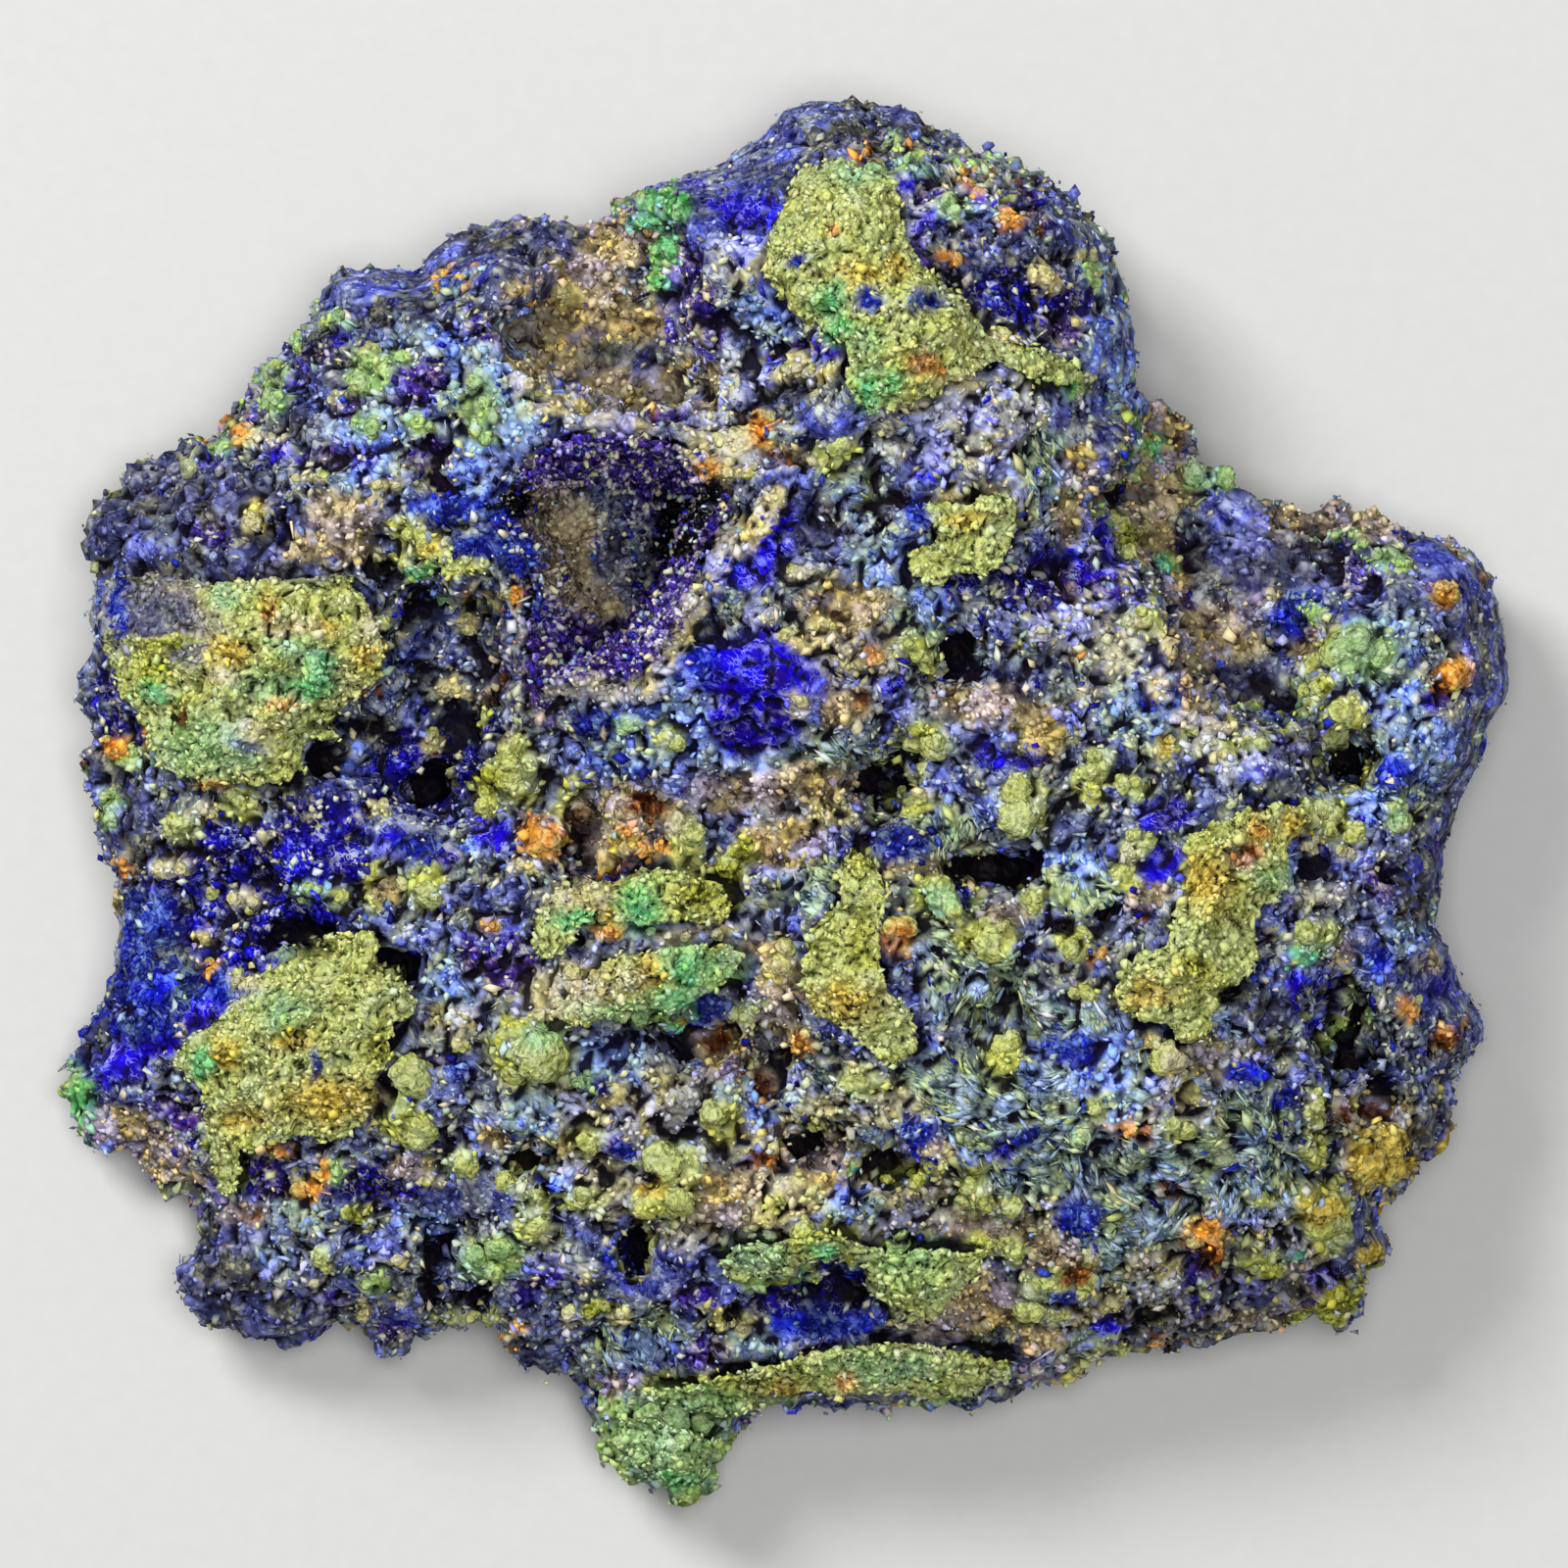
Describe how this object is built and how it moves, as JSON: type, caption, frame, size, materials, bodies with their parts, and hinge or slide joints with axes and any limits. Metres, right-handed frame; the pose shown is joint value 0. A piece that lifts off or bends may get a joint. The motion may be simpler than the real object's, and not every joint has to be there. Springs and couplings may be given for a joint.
{
  "type": "azurite and malachite mineral specimen",
  "caption": "Slab-like cluster of rounded, crystal-covered azurite lobes on brown gossan, with malachite crusts, pits and one crystal-lined hollow, lying on its flat back.",
  "frame": {"origin": "middle of the bounding box in X and Y, on the resting plane of the flat back", "axes": "+Z out of the crystal-covered front, square to the flat back; +X along the specimen's longest side; +Y across it"},
  "size_m": [0.0936, 0.0908, 0.0303],
  "materials": {
    "azurite": "rough druse of azurite over brown iron-stained matrix, sparkling on small crystal faces",
    "malachite": "granular yellow-green malachite crust, dull",
    "druse": "dark blue to black crystal lining with small bright faces"
  },
  "bodies": {
    "root": {"azurite_mass": "azurite", "malachite_arch": "malachite", "malachite_clumps": "malachite", "malachite_dome": "malachite", "malachite_frame": "malachite", "malachite_knob": "malachite", "malachite_ledge": "malachite", "malachite_left": "malachite", "malachite_lower_left": "malachite", "malachite_right": "malachite", "malachite_strip": "malachite", "malachite_tongue": "malachite", "vug_druse": "druse"}
  },
  "joints": []
}
